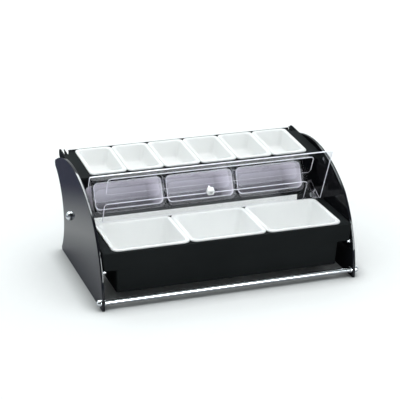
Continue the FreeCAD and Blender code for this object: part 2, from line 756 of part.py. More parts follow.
def upper_tray():
    """Plate for the narrow dishes: lips front and rear, flanges against the panels, and a slotted fin
    at each rear corner."""
    body = new_body("upper_tray")
    half = INNER_X - S["tray_flange_thickness"]
    notch_x = half - S["tray_slot_width"]
    rear = S["tray_depth"]
    notch_y = rear - S["tray_slot_length"]
    plate = [
        (-half, ZERO), (half, ZERO), (half, notch_y), (notch_x, notch_y),
        (notch_x, rear), (-notch_x, rear), (-notch_x, notch_y), (-half, notch_y),
    ]
    base = -S["tray_thickness"]
    pad(body, outline_sketch(body, "XY_Plane", [(plate, {})], base), S["tray_thickness"])
    lip = S["tray_flange_thickness"]

    def strip(half_x, front, drop, rise):
        outline = [(-half_x, front), (half_x, front), (half_x, front + lip), (-half_x, front + lip)]
        pad(body, outline_sketch(body, "XY_Plane", [(outline, {})], -drop), drop + rise)

    strip(half, ZERO, S["tray_lip"], ZERO)
    strip(notch_x, rear - lip, S["tray_rear_lip"], S["tray_rear_rise"])
    fin = [
        (notch_y - lip, base), (notch_y, base), (notch_y + lip, -S["tray_fin_drop"]),
        (rear, -S["tray_fin_drop"]), (rear + S["tray_fin_overhang"], ZERO), (notch_y - lip, ZERO),
    ]
    fin_x = half - S["tray_fin_gap"] - S["tray_fin_thickness"]
    for start in (fin_x, -fin_x - S["tray_fin_thickness"]):
        pad(body, outline_sketch(body, "YZ_Plane", [(fin, {})], start), S["tray_fin_thickness"])
    flange = rounded_rectangle(
        -S["tray_ear"], rear + S["tray_tail"], -S["tray_flange_drop"], ZERO, S["tray_ear_round"])
    for start in (-INNER_X, half):
        pad(body, outline_sketch(body, "YZ_Plane", [flange], start), lip)
    holes = dish_openings(
        NARROW_DISH_XS, NARROW_DISH_BACK, S["narrow_dish_width"], S["narrow_dish_length"],
        S["narrow_dish_corner"])
    sketch = outline_sketch(body, "XY_Plane", holes)
    cut(body, sketch, S["tray_thickness"] + S["overrun"])
    sketch = circle_sketch(body, "YZ_Plane", TRAY_SCREWS, S["tray_screw_radius"], INNER_X)
    cut(body, sketch, lip + S["overrun"])
    sketch = circle_sketch(body, "YZ_Plane", TRAY_SCREWS, S["tray_screw_radius"], -INNER_X)
    cut(body, sketch, lip + S["overrun"], reverse=True)
    for inner, reverse in ((half, True), (-half, False)):
        wide = circle_sketch(body, "YZ_Plane", TRAY_SCREWS, S["tray_screw_head"], inner)
        cut(body, wide, lip / 2, reverse=reverse)
    place(body, ZERO, TRAY_Y, S["tray_height"], axis=Vector(1, 0, 0), angle=S["tray_tilt"])
    return body


def tray_screw(label, side, y, z):
    """Flat-headed screw let into the flange and driven into the panel."""
    sunk = S["tray_flange_thickness"] / 2
    tip = S["tray_flange_thickness"] + S["blind_depth"]
    corners = [
        (ZERO, ZERO), (S["tray_screw_head"], ZERO), (S["tray_screw_head"], sunk),
        (S["tray_screw_radius"], sunk), (S["tray_screw_radius"], tip), (ZERO, tip),
    ]
    screw = turned(label, corners, {})
    across(screw, side, INNER_X - S["tray_flange_thickness"], y, z)
    return screw


LID_HALF = S["lid_half_width"]
LID_BACK = -S["lid_offset"]
LID_FRONT = LID_BACK - S["lid_thickness"]
ARM_UNDER_SHARE = 0.8
BORE = S["hinge_radius"] + S["hinge_clearance"]


def swing(piece):
    """Set a piece of the lid at the hinge, leaning forward as far as the lid opens."""
    place(piece, ZERO, HINGE_Y, S["hinge_height"], axis=Vector(1, 0, 0), angle=S["lid_open_tilt"])


def lid_cover():
    """Clear sheet with two shallow fields, and an arm at each end that turns on a pin."""
    body = new_body("lid_cover")
    sheet_outline = rounded_rectangle(
        -LID_HALF, LID_HALF, S["lid_bottom"], S["lid_top"], S["lid_corner"])
    back = -LID_BACK
    pad(body, outline_sketch(body, "XZ_Plane", [sheet_outline], back), S["lid_thickness"])
    arm = [
        (LID_BACK, S["lid_bottom"]), (-S["lid_boss_radius"] / 2, -S["lid_boss_radius"] * ARM_UNDER_SHARE),
        (S["lid_boss_radius"], ZERO), (S["lid_boss_radius"] / 2, S["lid_arm_top"]),
        (LID_BACK, S["lid_arm_top"]),
    ]
    pivot = [(ZERO, ZERO)]
    for start in (-LID_HALF, LID_HALF - S["lid_arm"]):
        pad(body, outline_sketch(body, "YZ_Plane", [(arm, {})], start), S["lid_arm"])
        pad(body, circle_sketch(body, "YZ_Plane", pivot, S["lid_boss_radius"], start), S["lid_arm"])
        bore = circle_sketch(body, "YZ_Plane", pivot, BORE, start - S["overrun"])
        cut(body, bore, S["lid_arm"] + S["overrun"] * 2, reverse=True)
    half = LID_HALF - S["field_side_inset"]
    fields = [
        rounded_rectangle(-half, half, S["field_low_bottom"], S["field_low_top"], S["field_corner"]),
        rounded_rectangle(-half, half, S["field_high_bottom"], S["field_high_top"], S["field_corner"]),
    ]
    cut(body, outline_sketch(body, "XZ_Plane", fields, back), S["field_recess"], reverse=True)
    hole = S["knob_screw_radius"] + S["knob_hole_gap"]
    centre = [(ZERO, S["knob_height"])]
    sketch = circle_sketch(body, "XZ_Plane", centre, hole, back)
    cut(body, sketch, S["lid_thickness"] + S["overrun"], reverse=True)
    swing(body)
    return body


def lid_knob():
    """Square knob on the lid's front, bored for its screw."""
    body = new_body("lid_knob")
    half = S["knob_side"] / 2
    block = rounded_rectangle(
        -half, half, S["knob_height"] - half, S["knob_height"] + half, S["knob_corner"])
    front = -LID_FRONT
    pad(body, outline_sketch(body, "XZ_Plane", [block], front), S["knob_length"])
    bore = circle_sketch(
        body, "XZ_Plane", [(ZERO, S["knob_height"])], S["knob_screw_radius"], front)
    cut(body, bore, S["knob_screw_grip"], reverse=True)
    swing(body)
    return body


def knob_screw():
    """Pan-headed screw through the lid into the knob."""
    body = new_body("knob_screw")
    back = -LID_BACK
    head = circle_sketch(
        body, "XZ_Plane", [(ZERO, S["knob_height"])], S["knob_screw_head_radius"],
        back - S["knob_screw_head"])
    pad(body, head, S["knob_screw_head"])
    shank = circle_sketch(
        body, "XZ_Plane", [(ZERO, S["knob_height"])], S["knob_screw_radius"], back)
    pad(body, shank, S["lid_thickness"] + S["knob_screw_grip"])
    swing(body)
    return body


def hinge_pin(label, side):
    """Headed pin in the panel; the lid's arm turns on it between the head and a spacer."""
    head_top = -S["lid_arm"] - S["lid_play"]
    tip = INNER_X - LID_HALF + S["blind_depth"]
    corners = [
        (ZERO, head_top - S["hinge_head"]), (S["hinge_head_radius"], head_top - S["hinge_head"]),
        (S["hinge_head_radius"], head_top), (S["hinge_radius"], head_top),
        (S["hinge_radius"], tip), (ZERO, tip),
    ]
    pin = turned(label, corners, {})
    across(pin, side, LID_HALF, HINGE_Y, S["hinge_height"])
    return pin


def hinge_spacer(label, side):
    """Ring on the pin that keeps the lid's arm off the panel."""
    corners = [
        (S["hinge_radius"], S["lid_play"]), (S["hinge_head_radius"], S["lid_play"]),
        (S["hinge_head_radius"], INNER_X - LID_HALF), (S["hinge_radius"], INNER_X - LID_HALF),
    ]
    ring = turned(label, corners, {})
    across(ring, side, LID_HALF, HINGE_Y, S["hinge_height"])
    return ring


SIDES = {"left": -1, "right": 1}
PLACES = ("left", "centre", "right")
nodes = [side_panel(f"{word}_side_panel", side) for word, side in SIDES.items()]
nodes.append(front_rod())
nodes.append(group("rod_cap_nuts", [
    cap_nut(f"rod_nut_{word}", side, ROD_Y, S["rod_height"], S["rod_nut_radius"])
    for word, side in SIDES.items()]))
nodes.append(lower_tub())
nodes.append(group("tub_support_pins", [
    support_pin(f"tub_pin_{word}_{n}", side, y, TUB_PIN_Z)
    for word, side in SIDES.items() for n, y in enumerate(TUB_PIN_YS, start=1)]))
nodes.append(container_deck())
nodes += [wide_dish(f"wide_dish_{word}", x) for word, x in zip(PLACES, WIDE_DISH_XS)]
nodes.append(bin_rack())
nodes.append(group("rack_studs", [rack_stud(f"rack_stud_{w}", side) for w, side in SIDES.items()]))
nodes.append(group("rack_cap_nuts", [
    cap_nut(f"rack_nut_{word}", side, *RACK_BOLT, S["rack_nut_radius"])
    for word, side in SIDES.items()]))
nodes.append(group("rack_support_pins", [
    support_pin(f"rack_pin_{word}", side, *RACK_PIN) for word, side in SIDES.items()]))
nodes += [clear_bin(f"clear_bin_{word}", x) for word, x in zip(PLACES, BIN_XS)]
nodes.append(upper_tray())
nodes.append(group("tray_screws", [
    tray_screw(f"tray_screw_{word}_{n}", side, *tray_point(*where))
    for word, side in SIDES.items() for n, where in enumerate(TRAY_SCREWS, start=1)]))
nodes += [narrow_dish(f"narrow_dish_{n}", x) for n, x in enumerate(NARROW_DISH_XS, start=1)]
nodes.append(group("lid_hinge_pins", [hinge_pin(f"hinge_pin_{w}", side) for w, side in SIDES.items()]))
nodes.append(group("lid_hinge_spacers", [
    hinge_spacer(f"hinge_spacer_{word}", side) for word, side in SIDES.items()]))
nodes += [lid_cover(), lid_knob(), knob_screw()]

doc.recompute()
for thing in doc.Objects:
    if "Invalid" in thing.State or "Error" in thing.State:
        raise RuntimeError(f"{thing.Label} did not compute: {thing.State}")
for node in nodes:
    if node.Shape.isNull() or not node.Shape.isValid():
        raise RuntimeError(f"{node.Label} has no valid shape")

os.makedirs("parts", exist_ok=True)
for node in nodes:
    node.Shape.exportStep(f"parts/{node.Label}.step")
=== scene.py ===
"""Looks of a counter-top bar condiment holder: black side panels, a tub of wide dishes, a rack of
clear bins behind a hinged clear lid, and a tray of narrow dishes. The pieces' sizes are millimetres
in the part's frame. Finishes, floor, light and camera are in metres."""
import json
import math
import bmesh
import bpy
import numpy as np
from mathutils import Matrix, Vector


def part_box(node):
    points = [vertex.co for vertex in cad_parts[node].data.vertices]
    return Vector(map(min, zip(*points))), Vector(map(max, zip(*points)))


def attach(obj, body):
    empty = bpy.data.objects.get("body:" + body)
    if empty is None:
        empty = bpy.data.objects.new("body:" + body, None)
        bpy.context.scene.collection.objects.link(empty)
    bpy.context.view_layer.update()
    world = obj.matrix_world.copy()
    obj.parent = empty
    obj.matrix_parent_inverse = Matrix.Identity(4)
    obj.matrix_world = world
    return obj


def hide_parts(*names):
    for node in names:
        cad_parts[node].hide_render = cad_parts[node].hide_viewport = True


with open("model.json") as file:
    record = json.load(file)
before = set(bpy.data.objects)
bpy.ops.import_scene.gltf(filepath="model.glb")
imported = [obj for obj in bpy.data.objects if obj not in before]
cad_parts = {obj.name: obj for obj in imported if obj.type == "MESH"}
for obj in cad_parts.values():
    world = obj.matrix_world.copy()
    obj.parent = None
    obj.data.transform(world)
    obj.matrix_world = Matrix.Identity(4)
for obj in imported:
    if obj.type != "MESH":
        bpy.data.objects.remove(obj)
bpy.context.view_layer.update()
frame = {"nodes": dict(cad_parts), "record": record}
NODES = frame["nodes"]
JOINTS = {joint["name"]: joint for joint in frame["record"]["behaviour"]["joints"]}
MM = 0.001

# Places that several pieces share; a pair is Y and Z
PANEL_INNER, PANEL_OUTER = 245.0, 250.0
ROD = (-168.483, 14.0)
TUB_FRONT, TUB_REAR, TUB_TOP = -169.283, -19.283, 108.7
RACK = (4.0605, 122.0)
RACK_TILT = math.radians(21.5)
TRAY = (-3.0106, 198.0055)
LIFT = JOINTS["narrow_dish_1_lift"]["axis"]
TRAY_TILT = math.atan2(-LIFT[1], LIFT[2])
HINGE = tuple(v / MM for v in JOINTS["lid_hinge"]["pos_m"][1:])
LID_TILT = math.radians(25.3)
SIDES = (("left", -1), ("right", 1))
SHARP_EDGE = math.radians(35)

# Orders of a slab's two outline values and its thickness that lay the thickness along X or Y
THICK_ALONG_X, THICK_ALONG_Y = [2, 0, 1], [0, 2, 1]


# Shapes as arrays

def grid_quads(rows, cols, wrap):
    """Quads of a grid of points; wrap joins the last column to the first."""
    row = np.arange(rows - 1)[:, None]
    col = np.arange(cols if wrap else cols - 1)[None, :]
    after = (col + 1) % cols
    quads = (row * cols + col, row * cols + after, (row + 1) * cols + after, (row + 1) * cols + col)
    return np.stack(quads, -1).reshape(-1, 4)


def closed_rings(rings):
    """Points and faces of a stack of rings, with a flat cap on the first and the last ring."""
    rows, cols = rings.shape[:2]
    faces = grid_quads(rows, cols, True).tolist()
    caps = [np.arange(cols)[::-1].tolist(), ((rows - 1) * cols + np.arange(cols)).tolist()]
    return rings.reshape(-1, 3), faces + caps


def row_marks(marks, cols):
    """Each row's mark for all faces of a stack of rings, and none for the two caps."""
    return np.append(np.repeat(marks, cols), [0, 0])


def softened(corners, cuts, steps=6):
    """A line through rows of values, each inner corner that has a cut replaced by a parabola that
    starts and ends one cut away from it, or just short of half way along a short leg; the first three
    values of a row are lengths."""
    most = 0.48
    corners = np.asarray(corners, float)
    t = np.linspace(0, 1, steps)[:, None]
    rows = [corners[:1]]
    for n, cut in enumerate(cuts, start=1):
        legs = corners[[n - 1, n + 1]] - corners[n]
        share = np.minimum(cut / np.linalg.norm(legs[:, :3], axis=1), most)[:, None]
        start, end = corners[n] + legs * share
        rows.append(start * (1 - t) ** 2 + corners[n] * 2 * t * (1 - t) + end * t ** 2)
    return np.concatenate(rows + [corners[-1:]])


def rounded_rings(left, right, low, high, radius, steps=9):
    """Rings round rectangles with round corners: four quarter circles about the corners' centres."""
    turn = (np.arange(4)[:, None] + np.linspace(0, 1, steps)[None]) * math.pi / 2
    cx = np.stack([right - radius, left + radius, left + radius, right - radius], 1)
    cy = np.stack([high - radius, high - radius, low + radius, low + radius], 1)
    x = cx[:, :, None] + radius[:, None, None] * np.cos(turn)[None]
    y = cy[:, :, None] + radius[:, None, None] * np.sin(turn)[None]
    return x.reshape(len(radius), -1), y.reshape(len(radius), -1)


def arc(start, end, rise, steps):
    """Points of the circular arc over a chord, standing off it by rise to the right of the way
    along."""
    start, end = np.array(start, float), np.array(end, float)
    chord = end - start
    half = np.linalg.norm(chord) / 2
    radius = (half ** 2 + rise ** 2) / (2 * rise)
    right = np.array([chord[1], -chord[0]]) / (2 * half)
    centre = (start + end) / 2 + right * (rise - radius)
    first = math.atan2(*(start - centre)[::-1])
    sweep = math.copysign(2 * math.asin(min(half / abs(radius), 1.0)), rise)
    turn = first + np.linspace(0, sweep, steps)
    return centre + abs(radius) * np.stack([np.cos(turn), np.sin(turn)], 1)


def slab(outline, low, high, edge, steps=5):
    """An anticlockwise outline given thickness, its edges round: each ring is the outline moved
    inwards by edge * (1 - sin t) at a height that follows edge * (1 - cos t), and the first and last
    rings lie in the flat faces."""
    corner_limit = 0.5
    ahead = np.roll(outline, -1, 0) - outline
    ahead /= np.linalg.norm(ahead, axis=1)[:, None]
    normal = np.stack([-ahead[:, 1], ahead[:, 0]], 1)
    inward = normal + np.roll(normal, 1, 0)
    inward /= np.maximum((inward ** 2).sum(1) / 2, corner_limit)[:, None]
    t = np.linspace(0, math.pi / 2, steps)
    flat = [edge * 3]
    inset = np.concatenate([flat, edge * (1 - np.sin(t)), edge * (1 - np.cos(t)), flat])
    rise = edge * (1 - np.cos(t))
    height = np.concatenate([[low], low + rise, high - rise[::-1], [high]])
    across = outline[None] + inward[None] * inset[:, None, None]
    tall = np.broadcast_to(height[:, None, None], across.shape[:2] + (1,))
    return np.concatenate([across, tall], 2)


def turned(profile, centre, steps=64, six_sided=None):
    """A profile of (x, radius) rows turned about a line along X; a row with a six-sided share above
    zero has its radius drawn in towards a hexagon."""
    profile = np.asarray(profile, float)
    turn = np.linspace(0, 2 * math.pi, steps, endpoint=False)
    share = np.zeros(len(profile)) if six_sided is None else np.asarray(six_sided, float)
    sector = (turn % (math.pi / 3)) - math.pi / 6
    hexagon = math.cos(math.pi / 6) / np.cos(sector)
    radius = profile[:, 1:2] * (1 + share[:, None] * (hexagon[None] - 1))
    x = np.broadcast_to(profile[:, :1], radius.shape)
    return np.stack([x, centre[0] + radius * np.cos(turn), centre[1] + radius * np.sin(turn)], -1)


def leaned(points, place, angle):
    """Points turned about X by an angle and carried to a place in Y and Z."""
    x, y, z = points[..., 0], points[..., 1], points[..., 2]
    c, s = math.cos(angle), math.sin(angle)
    return np.stack([x, place[0] + y * c - z * s, place[1] + y * s + z * c], -1)


def mirrored(rings, side):
    """Rings as they are on the right, or mirrored to the left."""
    return rings * np.array([side, 1, 1])


def show(made):
    """Put an object into the scene."""
    bpy.context.scene.collection.objects.link(made)


def piece(name, points, faces, finishes, body, slot, replaces, marks=None):
    """A mesh from arrays, welded, facing outwards and smooth but for its sharp edges; marks gives
    each face's place in the list of finishes."""
    weld, sliver = 1e-6, 1e-7
    mesh = bpy.data.meshes.new(name)
    mesh.from_pydata((np.asarray(points).reshape(-1, 3) * MM).tolist(), [], faces)
    for finish in finishes:
        mesh.materials.append(finish)
    if marks is not None:
        mesh.polygons.foreach_set("material_index", np.asarray(marks, np.int32))
    work = bmesh.new()
    work.from_mesh(mesh)
    bmesh.ops.remove_doubles(work, verts=work.verts, dist=weld)
    bmesh.ops.dissolve_degenerate(work, edges=work.edges, dist=sliver)
    bmesh.ops.recalc_face_normals(work, faces=work.faces)
    work.to_mesh(mesh)
    work.free()
    mesh.polygons.foreach_set("use_smooth", np.ones(len(mesh.polygons), bool))
    mesh.set_sharp_from_angle(angle=SHARP_EDGE)
    made = bpy.data.objects.new(name, mesh)
    show(made)
    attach(made, body)
    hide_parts(*replaces)


# Node trees

class Wiring:
    """A short way to wire the nodes of a node tree."""

    def __init__(self, tree):
        self.nodes = tree.nodes
        self.links = tree.links

    def plug(self, value, socket):
        """Set a socket to a number, or link an output to it."""
        if isinstance(value, (int, float)):
            socket.default_value = value
        else:
            self.links.new(value, socket)

    def combine(self, operation, *values):
        """A sum, product or other operation on numbers and outputs."""
        node = self.nodes.new("ShaderNodeMath")
        node.operation = operation
        for value, socket in zip(values, node.inputs):
            self.plug(value, socket)
        return node.outputs["Value"]

    def step(self, value, low, high, at_low=0.0, at_high=1.0):
        """A smooth step from one level to another between two values."""
        node = self.nodes.new("ShaderNodeMapRange")
        node.interpolation_type = "SMOOTHSTEP"
        node.inputs["From Min"].default_value = low
        node.inputs["From Max"].default_value = high
        self.plug(at_low, node.inputs["To Min"])
        self.plug(at_high, node.inputs["To Max"])
        self.links.new(value, node.inputs["Value"])
        return node.outputs["Result"]

    def band(self, value, low, high, soft):
        """One between two values, falling smoothly to zero outside them."""
        rise = self.step(value, low - soft, low)
        fall = self.step(value, high, high + soft, at_low=1.0, at_high=0.0)
        return self.combine("MULTIPLY", rise, fall)

    def mix(self, factor, first, second):
        """A colour between two, each a plain colour or an output."""
        node = self.nodes.new("ShaderNodeMix")
        node.data_type = "RGBA"
        for value, socket in ((first, node.inputs["A"]), (second, node.inputs["B"])):
            if isinstance(value, tuple):
                socket.default_value = (*value, 1)
            else:
                self.links.new(value, socket)
        self.links.new(factor, node.inputs["Factor"])
        return node.outputs["Result"]

    def split(self, vector):
        """The X, Y and Z outputs of a vector."""
        node = self.nodes.new("ShaderNodeSeparateXYZ")
        self.links.new(vector, node.inputs["Vector"])
        return node.outputs


class Finish(Wiring):
    """A principled material on the piece's own coordinates."""

    def __init__(self, name, **sockets):
        self.material = bpy.data.materials.new(name)
        self.material.use_nodes = True
        super().__init__(self.material.node_tree)
        self.shader = self.nodes["Principled BSDF"]
        for socket, value in sockets.items():
            self.shader.inputs[socket.replace("_", " ")].default_value = value
        self.place = self.nodes.new("ShaderNodeTexCoord").outputs["Object"]

    def noise(self, scale, detail=3.0, stretch=(1, 1, 1)):
        """Fractal noise, in features per metre."""
        mapping = self.nodes.new("ShaderNodeMapping")
        mapping.inputs["Scale"].default_value = stretch
        self.links.new(self.place, mapping.inputs["Vector"])
        texture = self.nodes.new("ShaderNodeTexNoise")
        texture.inputs["Scale"].default_value = scale
        texture.inputs["Detail"].default_value = detail
        self.links.new(mapping.outputs["Vector"], texture.inputs["Vector"])
        return texture.outputs["Fac"]

    def spread(self, value, low, high):
        """Stretch the middle of a noise over a range."""
        middle_low, middle_high = 0.3, 0.7
        node = self.nodes.new("ShaderNodeMapRange")
        node.inputs["From Min"].default_value = middle_low
        node.inputs["From Max"].default_value = middle_high
        node.inputs["To Min"].default_value = low
        node.inputs["To Max"].default_value = high
        self.links.new(value, node.inputs["Value"])
        return node.outputs["Result"]

    def rough(self, value, low, high):
        """Roughness between two values."""
        self.links.new(self.spread(value, low, high), self.shader.inputs["Roughness"])

    def tint(self, value, dark, light):
        """Base colour between two close colours."""
        colour = self.mix(self.spread(value, 0, 1), dark, light)
        self.links.new(colour, self.shader.inputs["Base Color"])

    def fade(self, socket, low, high, at_low, at_high):
        """A socket that changes with height above the counter."""
        height = self.split(self.place)["Z"]
        self.links.new(self.step(height, low, high, at_low, at_high), self.shader.inputs[socket])

    def bump(self, value, height, strength):
        """Small unevenness of the surface."""
        node = self.nodes.new("ShaderNodeBump")
        node.inputs["Strength"].default_value = strength
        node.inputs["Distance"].default_value = height
        self.links.new(value, node.inputs["Height"])
        self.links.new(node.outputs["Normal"], self.shader.inputs["Normal"])


# Finishes

def polished_black():
    """Acrylic sheet under a clear gloss."""
    made = Finish("polished_black_acrylic", IOR=1.49, Specular_IOR_Level=0.0, Coat_Weight=0.7,
                  Coat_Roughness=0.05, Coat_IOR=1.49)
    made.tint(made.noise(6), (0.0050, 0.0050, 0.008), (0.0080, 0.0082, 0.012))
    made.rough(made.noise(30, detail=5), 0.10, 0.18)
    return made.material


def shaded_copy_black():
    """The same sheet's inner face, a shaded copy with less gloss and a darker tone: painted shade."""
    made = Finish("black_acrylic_inner_face_shaded_copy", IOR=1.49, Specular_IOR_Level=0.0, Coat_Weight=0.18,
                  Coat_Roughness=0.08, Coat_IOR=1.49)
    made.tint(made.noise(6), (0.0045, 0.0046, 0.0055), (0.0068, 0.0070, 0.0085))
    made.rough(made.noise(30, detail=5), 0.14, 0.24)
    return made.material


def satin_black():
    """Black plastic with a fine moulded grain."""
    made = Finish("satin_black_moulding", IOR=1.46, Specular_IOR_Level=0.006)
    made.tint(made.noise(9), (0.0104, 0.0117, 0.0122), (0.0134, 0.0150, 0.0156))
    made.rough(made.noise(60, detail=4), 0.30, 0.42)
    made.bump(made.noise(1400, detail=2), height=0.00006, strength=0.25)
    return made.material


def white_moulding():
    """White plastic, very slightly uneven."""
    made = Finish("white_moulding", IOR=1.46, Specular_IOR_Level=0.2)
    made.tint(made.noise(14), (0.865, 0.865, 0.862), (0.895, 0.895, 0.89))
    made.rough(made.noise(10, detail=2), 0.28, 0.33)
    made.bump(made.noise(500, detail=2), height=0.00003, strength=0.12)
    return made.material


def clear_sheet():
    """Clear acrylic, part transparent so that the lamp's light reaches what is behind it."""
    made = Finish("clear_acrylic_sheet", IOR=1.2, Transmission_Weight=1.0, Alpha=0.2)
    made.tint(made.noise(5), (0.962, 0.970, 0.985), (0.975, 0.982, 0.992))
    made.rough(made.noise(25, detail=4), 0.0, 0.003)
    return made.material


def painted_dark_flange():
    """A clear bin's flat flange, painted dark as the rack behind it: painted shade."""
    made = Finish("clear_flange_painted_dark", IOR=1.49, Alpha=0.88, Specular_IOR_Level=0.15)
    made.tint(made.noise(10), (0.015, 0.014, 0.017), (0.024, 0.022, 0.026))
    made.rough(made.noise(40, detail=4), 0.08, 0.16)
    return made.material


def painted_glow_edge():
    """Edges and steps of clear acrylic, painted pale with a faint glow: a painted highlight for the
    light that they gather.
    """
    made = Finish("clear_acrylic_edge_painted_glow", IOR=1.49, Alpha=0.92, Specular_IOR_Level=0.6,
                  Emission_Color=(0.90, 0.88, 1.0, 1.0), Emission_Strength=0.14)
    made.tint(made.noise(12), (0.84, 0.83, 0.90), (0.92, 0.91, 0.97))
    made.rough(made.noise(80, detail=4), 0.12, 0.25)
    return made.material


def clear_moulding_painted_shade_and_glow():
    """A clear bin's walls, with painted shade and glow: clearer and darker towards the bottom, glowing
    faintly towards the top.
    """
    made = Finish("clear_moulding_painted_shade_and_glow", IOR=1.49, Specular_IOR_Level=0.25,
                  Emission_Color=(0.92, 0.89, 1.0, 1.0))
    made.tint(made.noise(8), (0.86, 0.85, 0.92), (0.91, 0.90, 0.96))
    made.rough(made.noise(12, detail=2), 0.30, 0.36)
    # Painted shade and glow by height: alpha falls towards the bottom, emission grows towards the top.
    made.fade("Alpha", low=0.090, high=0.150, at_low=0.12, at_high=0.74)
    made.fade("Emission Strength", low=0.095, high=0.150, at_low=0.0, at_high=0.20)
    return made.material


def bright_chrome():
    """Plating with a faint streaked polish."""
    made = Finish("bright_chrome", Metallic=1.0)
    made.tint(made.noise(20), (0.66, 0.68, 0.70), (0.73, 0.75, 0.77))
    made.rough(made.noise(120, detail=4, stretch=(0.2, 1, 1)), 0.04, 0.09)
    return made.material


def plain_steel():
    """Dull steel of screws and pins."""
    made = Finish("plain_steel", Metallic=1.0)
    made.tint(made.noise(30), (0.66, 0.67, 0.70), (0.74, 0.75, 0.78))
    made.rough(made.noise(200, detail=4), 0.34, 0.46)
    return made.material


BLACK = polished_black()
SHADED_INNER_BLACK = shaded_copy_black()
SATIN = satin_black()
WHITE = white_moulding()
SHEET = clear_sheet()
PAINTED_DARK_FLANGE = painted_dark_flange()
PAINTED_GLOW_EDGE = painted_glow_edge()
PAINTED_SHADE_GLOW_MOULDING = clear_moulding_painted_shade_and_glow()
CHROME = bright_chrome()
STEEL = plain_steel()


# Side panels

def panel_outline():
    """Straight foot, rounded heel, hollow rear edge, horn tip, crown and bowed front, in Y and Z: one
    straight run and five arcs."""
    toe, foot_end, heel = (-176.063, 0.0), (134.483, 0.0), (140.483, 6.0)
    tip, tip_top, shoulder = (173.983, 166.006), (168.983, 180.506), (-116.983, 157.006)
    heel_rise, hollow_rise, tip_rise, crown_rise, front_rise = 1.757, -42.5, 4.8, 41.5, 17.98
    runs = [
        np.linspace(toe, foot_end, 12),
        arc(foot_end, heel, heel_rise, steps=6),
        arc(heel, tip, hollow_rise, steps=40),
        arc(tip, tip_top, tip_rise, steps=10),
        arc(tip_top, shoulder, crown_rise, steps=60),
        arc(shoulder, toe, front_rise, steps=36),
    ]
    return np.concatenate([run[:-1] for run in runs])


def add_panels():
    """Two slabs of one outline, the flat of each inner side in the shaded copy of the finish, which
    paints shade.
    """
    edge = 0.7
    for word, side in SIDES:
        low, high = sorted((side * PANEL_INNER, side * PANEL_OUTER))
        rings = slab(panel_outline(), low, high, edge)[..., THICK_ALONG_X]
        points, faces = closed_rings(rings)
        inner_row, inner_cap = (-1, -1) if side < 0 else (0, -2)
        # Inner sides take the shaded copy of the black: painted shade.
        marks = np.zeros(len(faces), int)
        marks[inner_cap] = 1
        marks[:-2].reshape(-1, rings.shape[1])[inner_row] = 1
        piece(f"side_panel_{word}", points, faces, [BLACK, SHADED_INNER_BLACK], "stand", "black_acrylic",
              [f"{word}_side_panel"], marks)


# Rod, nuts and screws

def add_rod():
    """Tie rod: a straight bar with a rounded collar against each panel, one half's profile mirrored
    and turned."""
    bar, collar, end = 5.0, 6.5, 3.0
    collar_start = PANEL_INNER - 3.0
    corners = [
        (0, bar), (collar_start, bar), (collar_start, collar),
        (PANEL_INNER, collar), (PANEL_INNER, end)]
    half = softened(corners, [0.1, 0.7, 0.7])[1:]
    profile = np.concatenate([half[::-1] * [-1, 1], half])
    piece("tie_rod", *closed_rings(turned(profile, ROD)), [CHROME], "stand", "chrome", ["front_rod"])


def add_cap_nuts():
    """Domed nuts: a turned profile with a short skirt, a small step and a dome that is part of a
    sphere."""
    seat, skirt, step = 3.0, 2.5, 0.3
    edge = PANEL_OUTER + skirt
    turn = np.linspace(0, 1, 16)
    for kind in ("rod", "rack"):
        low, high = (np.array(corner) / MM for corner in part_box(f"{kind}_cap_nuts"))
        place = (low + high)[1:] / 2
        radius = (high - low)[2] / 2
        dome = high[0] - edge
        sphere = (radius ** 2 + dome ** 2) / (2 * dome)
        swing = math.asin((radius - step) / sphere) * (1 - turn)
        top = np.stack([high[0] - sphere * (1 - np.cos(swing)), sphere * np.sin(swing)], 1)
        corners = [(PANEL_OUTER, seat), (PANEL_OUTER, radius), (edge, radius), (edge, radius - step)]
        foot = softened(corners, [0.5, 0.25])
        profile = np.concatenate([foot, top])
        for word, side in SIDES:
            rings = mirrored(turned(profile, place, steps=48), side)
            piece(f"{kind}_cap_nut_{word}", *closed_rings(rings), [CHROME], "stand", "chrome",
                  [f"{kind}_cap_nuts"])


def add_tray_screws():
    """Four round heads sunk in the tray's flanges, two on each side: a turned profile with a chamfer,
    drawn in to a six-sided socket."""
    face, sunk, radius = 242.5, 1.25, 4.0
    chamfer, chamfer_width = 0.35, 0.45
    mouth, throat, bottom = radius * 0.52, radius * 0.48, radius * 0.46
    throat_depth, depth = 0.25, 1.1
    seat_cap, socket_cap = 0.6, 0.2
    profile = [
        (face + sunk, seat_cap), (face + sunk, radius),
        (face + chamfer, radius), (face, radius - chamfer_width),
        (face, mouth), (face + throat_depth, throat),
        (face + depth, bottom), (face + depth, socket_cap),
    ]
    six_sided = [0, 0, 0, 0, 0, 1, 1, 0]
    up = -5.5
    for word, side in SIDES:
        for where, back in (("front", -21.5), ("rear", 124.0)):
            place = leaned(np.array([0.0, back, up]), TRAY, TRAY_TILT)[1:]
            rings = mirrored(turned(profile, place, steps=36, six_sided=six_sided), side)
            piece(f"tray_screw_{word}_{where}", *closed_rings(rings), [STEEL], "stand", "chrome",
                  ["tray_screws"])


# Containers

